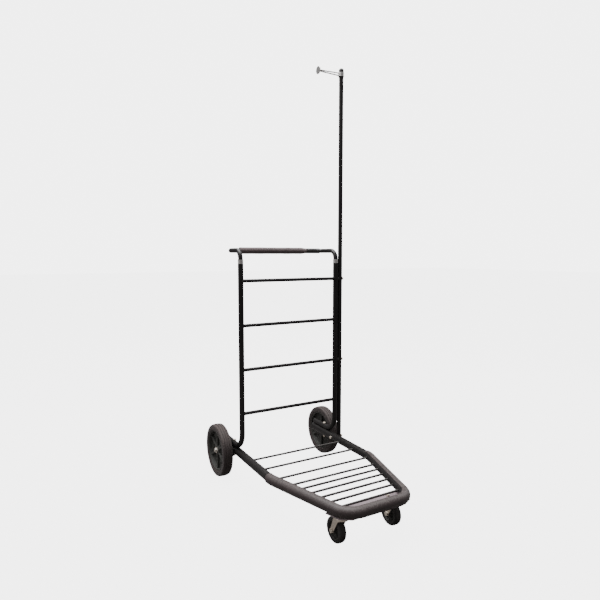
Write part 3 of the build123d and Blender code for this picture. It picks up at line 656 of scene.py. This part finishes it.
    def nut(self) -> None:
        """Builds the domed nut on the axle's end."""
        node = f"{self.side}_hub_nut"
        at, size = middle(node), extent(node)
        face = Vector((at.x - self.sign * size.x / 2, at.y, at.z))
        shape = Shape(f"{self.side}_domed_nut")
        shape.prism(6, size.y, size.x * self.nut_prism, face, (self.sign, 0, 0))
        foot, rise, radius = size.x * self.dome_foot, size.x * self.dome_rise, size.y * self.dome_radius
        angles = (math.pi / 16 * n for n in range(9))
        dome = [(foot + rise * math.sin(a), radius * math.cos(a)) for a in angles]
        shape.lathe([(foot, 0.0)] + dome, face, (self.sign, 0, 0), 32)
        shape.done("frame", DULL_STEEL, (node,))

    def build(self) -> None:
        """Builds the whole wheel."""
        self.tyre()
        self.centre()
        self.nut()


# ---------------------------------------------------------------- casters
@dataclass
class Caster:
    """One swivel caster: pressed fork, rubber tread and moulded core."""

    side: str
    wall: float = 0.003
    gap: float = 0.0185
    bend: float = 0.005
    strip_round: float = 0.001
    leg_shares: tuple = (0.3, 0.4, 0.3)
    crown_height: float = 0.0075
    dish: tuple = ((0.0, 0.0062), (0.0, 0.0262), (0.0020, 0.027), (0.0062, 0.0262), (0.0075, 0.024),
                   (0.0075, 0.0199), (0.0048, 0.0192), (0.0048, 0.0148), (0.0075, 0.0141),
                   (0.0075, 0.0062))  # height and radius, with the ball groove
    dish_round: float = 0.0006
    eye: float = 0.010
    eye_bore: float = 0.0048
    eye_round: float = 0.0008
    leg_front: float = 0.004
    leg_back: float = 0.028
    pin_room: float = 0.0068
    tread_arc: float = 0.8
    tread_share: float = 0.96
    tread_fall: float = 0.0064
    tread_wall: float = 0.007
    core_inset: float = 0.0015
    core_wall: float = 0.004
    web: float = 0.004
    hub: float = 0.013
    core_bore: float = 0.0049
    core_round: float = 0.0008
    rib: float = 0.003
    rib_inset: float = 0.005
    ribs: int = 5

    def fork(self) -> None:
        """Bends both legs in over the crown, tapers them back to the axle and adds the dished crown."""
        node = f"{self.side}_fork"
        wheel = middle(f"{self.side}_caster_tread")
        pivot = middle(f"{self.side}_kingpin")
        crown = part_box(node)[1][2] - self.crown_height
        outer = self.gap + self.wall
        centre_line = outer - self.wall / 2
        depth = self.leg_front + self.leg_back
        half = self.wall / 2
        strip = [(-half, -depth / 2), (half, -depth / 2), (half, depth / 2), (-half, depth / 2)]
        section = rounded(strip, self.strip_round, 2)
        start = Vector((wheel.x, pivot.y + (self.leg_back - self.leg_front) / 2, wheel.z))
        rise = crown + self.wall / 2 - wheel.z - self.bend
        across = centre_line - self.bend - self.pin_room
        shape = Shape(f"{self.side}_pressed_fork")
        moves = [rise * share for share in self.leg_shares] + [(self.bend, math.pi / 2, 6), across]
        verts = []
        for way in (-1, 1):
            foot = start + Vector((way * centre_line, 0, 0))
            verts += shape.sweep(section, foot, Vector((0, 0, 1)), Vector((0, -way, 0)), moves)
        for vert in verts:
            down = min(1.0, max(0.0, (wheel.z + rise - vert.co.z) / rise))
            width = 1 + (2 * self.eye / depth - 1) * down
            centre = start.y + (wheel.y - start.y) * down
            vert.co.y = centre + (vert.co.y - start.y) * width
        for way in (-1, 1):
            at = Vector((wheel.x + way * centre_line, wheel.y, wheel.z))
            eye = [(-half, self.eye_bore), (half, self.eye_bore), (half, self.eye), (-half, self.eye)]
            shape.lathe(rounded(eye, self.eye_round, 2), at, (1, 0, 0), 40)
        seat = Vector((pivot.x, pivot.y, crown))
        shape.lathe(rounded(list(self.dish), self.dish_round, 2), seat, (0, 0, 1), 56)
        shape.done(f"{self.side}_caster_fork", ZINC, (node,))

    def wheel(self) -> None:
        """Turns the tread with rounded shoulders and the core with a dished web."""
        tread, core = f"{self.side}_caster_tread", f"{self.side}_caster_core"
        at, half, radius = middle(tread), extent(tread).x / 2, extent(tread).z / 2
        bore = extent(core).z / 2
        angles = (math.pi / 20 * n - math.pi / 2 * self.tread_arc for n in range(17))
        crown = [(half * math.sin(a) * self.tread_share, radius - self.tread_fall * (1 - math.cos(a)) ** 1.5)
                 for a in angles]
        flank = radius - self.tread_wall
        outline = [(-half, bore), (-half, flank)] + crown + [(half, flank), (half, bore)]
        outline = [(along, min(rise, radius)) for along, rise in outline]
        shape = Shape(f"{self.side}_moulded_tread")
        shape.lathe(outline, at, (1, 0, 0), 80)
        shape.done(f"{self.side}_caster_wheel", TREAD, (tread,), 40)
        web, hub, stand_out = self.web, self.hub, extent(core).x / 2
        edge, pin = half - self.core_inset, self.core_bore
        profile = [(-edge, bore), (edge, bore), (edge, bore - self.core_wall), (web + 0.001, bore - 0.0055),
                   (web, hub + 0.004), (web + 0.003, hub), (stand_out, hub - 0.0015), (stand_out, pin),
                   (-stand_out, pin), (-stand_out, hub - 0.0015), (-web - 0.003, hub), (-web, hub + 0.004),
                   (-web - 0.001, bore - 0.0055), (-edge, bore - self.core_wall)]
        shape = Shape(f"{self.side}_moulded_core")
        shape.lathe(rounded(profile, self.core_round, 2), at, (1, 0, 0), 64)
        reach = (hub + bore - self.core_wall) / 2
        size = (2 * (edge - self.rib_inset), self.rib, bore - hub - 0.003)
        for number in range(self.ribs):
            lean = Matrix.Rotation(math.tau / self.ribs * number, 4, "X")
            rib = Matrix.Translation(at) @ lean @ Matrix.Translation((0, 0, reach))
            shape.block(size, rib, self.core_round)
        shape.done(f"{self.side}_caster_wheel", MOULDED, (core,))

    def build(self) -> None:
        """Builds the caster's pieces."""
        self.fork()
        self.wheel()


# ---------------------------------------------------------------- deck
@dataclass
class Deck:
    """The bumper round the nose and the weld beads of the deck and the back."""

    side: float = 0.254
    post: float = 0.257
    height: float = 0.151
    tube: float = 0.01905
    kink_front: float = 0.300
    kink_bend: float = 0.120
    nose_front: float = 0.702
    nose_half: float = 0.1425
    nose_bend: float = 0.078
    lead: float = 0.020
    slack: float = 0.0001
    wall: float = 0.0032
    inner_lip: float = 60.0
    outer_lip: float = 50.0
    lip_taper: float = 0.0008
    skin_steps: int = 40
    lining_steps: int = 24
    rod: float = 0.00475
    rod_fronts: tuple = (0.6335, 0.5835, 0.5335, 0.4835, 0.4335, 0.3835, 0.3045, 0.189, 0.073)
    bead: float = 0.0016
    bead_ripple: float = 0.0002

    def __post_init__(self) -> None:
        """Finds the uprights' place in the frame."""
        self.back = middle("rung_1").y

    @property
    def taper(self) -> float:
        """How far each tapered side comes in for each metre forwards."""
        return (self.side - self.nose_half) / (self.nose_front - self.kink_front)

    def section(self) -> list[tuple]:
        """Outline of the bumper's C-shaped section, a little thinner at its two lips."""
        inner, outer = self.tube + self.slack, self.tube + self.slack + self.wall
        first, last = math.radians(self.inner_lip), math.pi + math.radians(self.outer_lip)
        points = []
        for step in range(self.skin_steps + 1):
            angle = first + (last - first) * step / self.skin_steps
            radius = outer - (self.lip_taper if step in (0, self.skin_steps) else 0.0)
            points.append((radius * math.cos(angle), radius * math.sin(angle)))
        for step in range(self.lining_steps, -1, -1):
            angle = first + (last - first) * step / self.lining_steps
            points.append((inner * math.cos(angle), inner * math.sin(angle)))
        return points

    def bumper(self) -> None:
        """Bends the bumper round the taper and the nose."""
        turn = math.atan(self.taper)
        kink_reach = self.kink_bend * math.tan(turn / 2)
        nose_turn = math.pi / 2 - turn
        nose_reach = self.nose_bend * math.tan(nose_turn / 2)
        slope = math.hypot(self.side - self.nose_half, self.nose_front - self.kink_front)
        side_run = self.lead - kink_reach
        slope_run = slope - kink_reach - nose_reach
        shape = Shape("deck_bumper_moulded")
        start = Vector((-self.side, self.back - self.kink_front + self.lead, self.height))
        half_way = [side_run, (self.kink_bend, turn, 8), slope_run, (self.nose_bend, nose_turn, 20)]
        nose_run = 2 * (self.nose_half - nose_reach)
        shape.sweep(self.section(), start, Vector((0, -1, 0)), Vector((0, 0, 1)),
                    half_way + [nose_run] + half_way[::-1])
        shape.done("frame", VINYL, ("deck_bumper",), 50)

    def side_at(self, front: float) -> float:
        """Half width of the deck centreline, a distance in front of the uprights."""
        if front < self.kink_front:
            return self.side
        return self.nose_half + (self.nose_front - front) * self.taper

    def collar(self, shape: Shape, at: Vector, way: int, radius: float, tube: float, upright: bool,
               slant: float = 0.0) -> None:
        """Lays one weld bead where a round bar meets a tube square on.

        Args:
            shape: the mesh that it joins.
            at: where the bar's axis meets the tube's surface.
            way: the side of the tube, -1 or 1, that the bar leaves towards.
            radius: the bar's radius.
            tube: the tube's radius.
            upright: whether the tube stands up instead of lying.
            slant: how far the tube's surface moves along X for each metre along Y.
        """
        profile = [(self.bead * 0.9 * math.cos(a), radius + 0.0003 + self.bead * 0.75 * math.sin(a))
                   for a in (math.tau / 8 * n for n in range(8))]
        verts = shape.lathe(profile, at, (1, 0, 0), 20)
        for vert in verts:
            off = vert.co.y - at.y if upright else vert.co.z - at.z
            drop = tube - math.sqrt(max(tube ** 2 - off ** 2, 0.0))
            ripple = self.bead_ripple * math.sin(9 * math.atan2(vert.co.y - at.y, vert.co.z - at.z))
            vert.co.x += way * -drop + slant * (vert.co.y - at.y) + way * ripple

    def welds(self) -> None:
        """Lays beads at both ends of every rung and deck rod."""
        shape = Shape("rung_weld_beads")
        post = extent("left_upright").x / 2
        for number in range(1, 5):
            at, radius = middle(f"rung_{number}"), extent(f"rung_{number}").z / 2
            for way in (-1, 1):
                seat = Vector((way * (self.post - post), at.y, at.z))
                self.collar(shape, seat, -way, radius, post, True)
        shape.done("frame", ENAMEL)
        shape = Shape("rod_weld_beads")
        for front in self.rod_fronts:
            slant = self.taper if front > self.kink_front else 0.0
            inset = self.tube * math.sqrt(1 + slant ** 2)
            for way in (-1, 1):
                seat = Vector((way * (self.side_at(front) - inset), self.back - front, self.height))
                self.collar(shape, seat, -way, self.rod, self.tube, False, way * slant)
        shape.done("frame", ENAMEL)

    def build(self) -> None:
        """Builds the bumper and the welds."""
        self.bumper()
        self.welds()


# ---------------------------------------------------------------- handle
@dataclass
class Grip:
    """The foam grip on the crossbar, with its taper towards the vinyl sleeve."""

    bore: float = 0.0111
    taper: float = 0.033
    sleeve: float = 0.0130
    edge: float = 0.0035
    pressed: float = 0.00035
    press_waves: tuple[float, float] = (61.0, 23.0)
    body_steps: int = 24

    def build(self) -> None:
        """Turns the grip, with soft ends and a little unevenness where hands have pressed it."""
        node = "handle_grip"
        at, size = middle(node), extent(node)
        half, radius = size.x / 2, size.z / 2
        body = [(-half + self.edge * (1 - math.cos(a)), radius - self.edge * (1 - math.sin(a)))
                for a in (math.pi / 12 * n for n in range(7))]
        start, end = -half + self.edge, half - self.taper
        for step in range(1, self.body_steps):
            along = start + (end - start) * step / self.body_steps
            wave = math.prod(math.sin(along * rate) for rate in self.press_waves)
            body.append((along, radius - self.pressed * (1 + wave)))
        for step in range(9):
            t = step / 8
            ease = t * t * (3 - 2 * t)
            body.append((end + self.taper * t, radius + (self.sleeve - radius) * ease))
        shape = Shape("handle_grip_foam")
        shape.lathe([(-half, self.bore)] + body + [(half, self.bore)], at, (1, 0, 0), 56)
        shape.done("frame", FOAM, (node,), 60)


# ---------------------------------------------------------------- studio
@dataclass(frozen=True)
class SoftBox:
    """A rectangular light: where it hangs, the point it faces, its width and height, and its power."""

    name: str
    at: tuple[float, float, float]
    aim: tuple[float, float, float]
    size: tuple[float, float]
    watts: float


SOFT_BOXES = (
    SoftBox("top_box", (-0.3, 0.6, 4.2), (0, 0, 0.3), (3.6, 3.6), 400),
    SoftBox("side_box", (3.0, 0.6, 2.2), (0, 0, 0.6), (1.6, 2.4), 40),
    SoftBox("left_box", (-3.2, 0.8, 2.4), (0, 0, 0.6), (1.2, 2.4), 26),
)


@dataclass
class Studio:
    """Pale floor, soft lights and the camera."""

    camera_at: Vector = field(default_factory=lambda: Vector((-1.1718, -1.95645, 1.0888)))
    heading: float = -29.51
    dip: float = 5.05
    lens: float = 30.84
    floor_half: float = 30.0
    floor_colour: tuple[float, float, float] = (0.14, 0.13, 0.125)
    backdrop: float = 5.0
    glow_share: float = 0.92
    ambient: float = 0.26

    def floor(self) -> None:
        """Lays a wide pale floor under the cart."""
        bm = bmesh.new()
        bmesh.ops.create_grid(bm, x_segments=1, y_segments=1, size=self.floor_half)
        mesh = bpy.data.meshes.new("studio_floor")
        bm.to_mesh(mesh)
        bm.free()
        floor = bpy.data.objects.new("studio_floor", mesh)
        bpy.context.scene.collection.objects.link(floor)
        material = bpy.data.materials.new("studio_floor")
        material.use_nodes = True
        graph = Graph(material.node_tree)
        shader = material.node_tree.nodes["Principled BSDF"]
        seen = graph.add("LightPath").outputs["Is Camera Ray"]
        glow = graph.math("MULTIPLY", seen, self.backdrop * self.glow_share)
        shader.inputs["Base Color"].default_value = (*self.floor_colour, 1)
        shader.inputs["Emission Color"].default_value = (1, 1, 1, 1)
        material.node_tree.links.new(glow, shader.inputs["Emission Strength"])
        shader.inputs["Roughness"].default_value = 0.9
        mesh.materials.append(material)

    def light(self, box: SoftBox) -> None:
        """Hangs one soft box."""
        lamp = bpy.data.lights.new(box.name, "AREA")
        lamp.shape = "RECTANGLE"
        lamp.size, lamp.size_y = box.size
        lamp.energy = box.watts
        holder = bpy.data.objects.new(box.name, lamp)
        holder.location = box.at
        holder.rotation_euler = (Vector(box.aim) - Vector(box.at)).to_track_quat("-Z", "Y").to_euler()
        bpy.context.scene.collection.objects.link(holder)

    def lights(self) -> None:
        """Sets a bright backdrop, a soft surround and soft boxes above and to both sides."""
        world = bpy.data.worlds.new("studio")
        world.use_nodes = True
        graph = Graph(world.node_tree)
        seen = graph.add("LightPath").outputs["Is Camera Ray"]
        strength = graph.add("Mix", {0: seen, 2: self.ambient, 3: self.backdrop}).outputs[0]
        world.node_tree.nodes["Background"].inputs["Color"].default_value = (1, 1, 1, 1)
        world.node_tree.links.new(strength, world.node_tree.nodes["Background"].inputs["Strength"])
        bpy.context.scene.world = world
        for box in SOFT_BOXES:
            self.light(box)

    def camera(self) -> None:
        """Stands the camera in front of the cart's left side, a little below the handle's height."""
        lens = bpy.data.cameras.new("camera")
        lens.lens = self.lens
        lens.sensor_width = 36.0
        lens.clip_end = 200.0
        holder = bpy.data.objects.new("camera", lens)
        holder.location = self.camera_at
        holder.rotation_euler = (math.radians(90 - self.dip), 0, math.radians(self.heading))
        bpy.context.scene.collection.objects.link(holder)
        bpy.context.scene.camera = holder

    def build(self) -> None:
        """Makes the whole studio."""
        self.floor()
        self.lights()
        self.camera()
        log.info("studio ready")


def main() -> None:
    """Builds every part of the picture in order."""
    logging.basicConfig(level=logging.INFO, format="%(name)s: %(message)s")
    Studio().build()
    for node in sorted(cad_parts):
        dress(node)
    for side, sign in SIDES:
        RearWheel(side, sign).build()
        Caster(side).build()
    Deck().build()
    Grip().build()


if __name__ == "__main__":
    main()
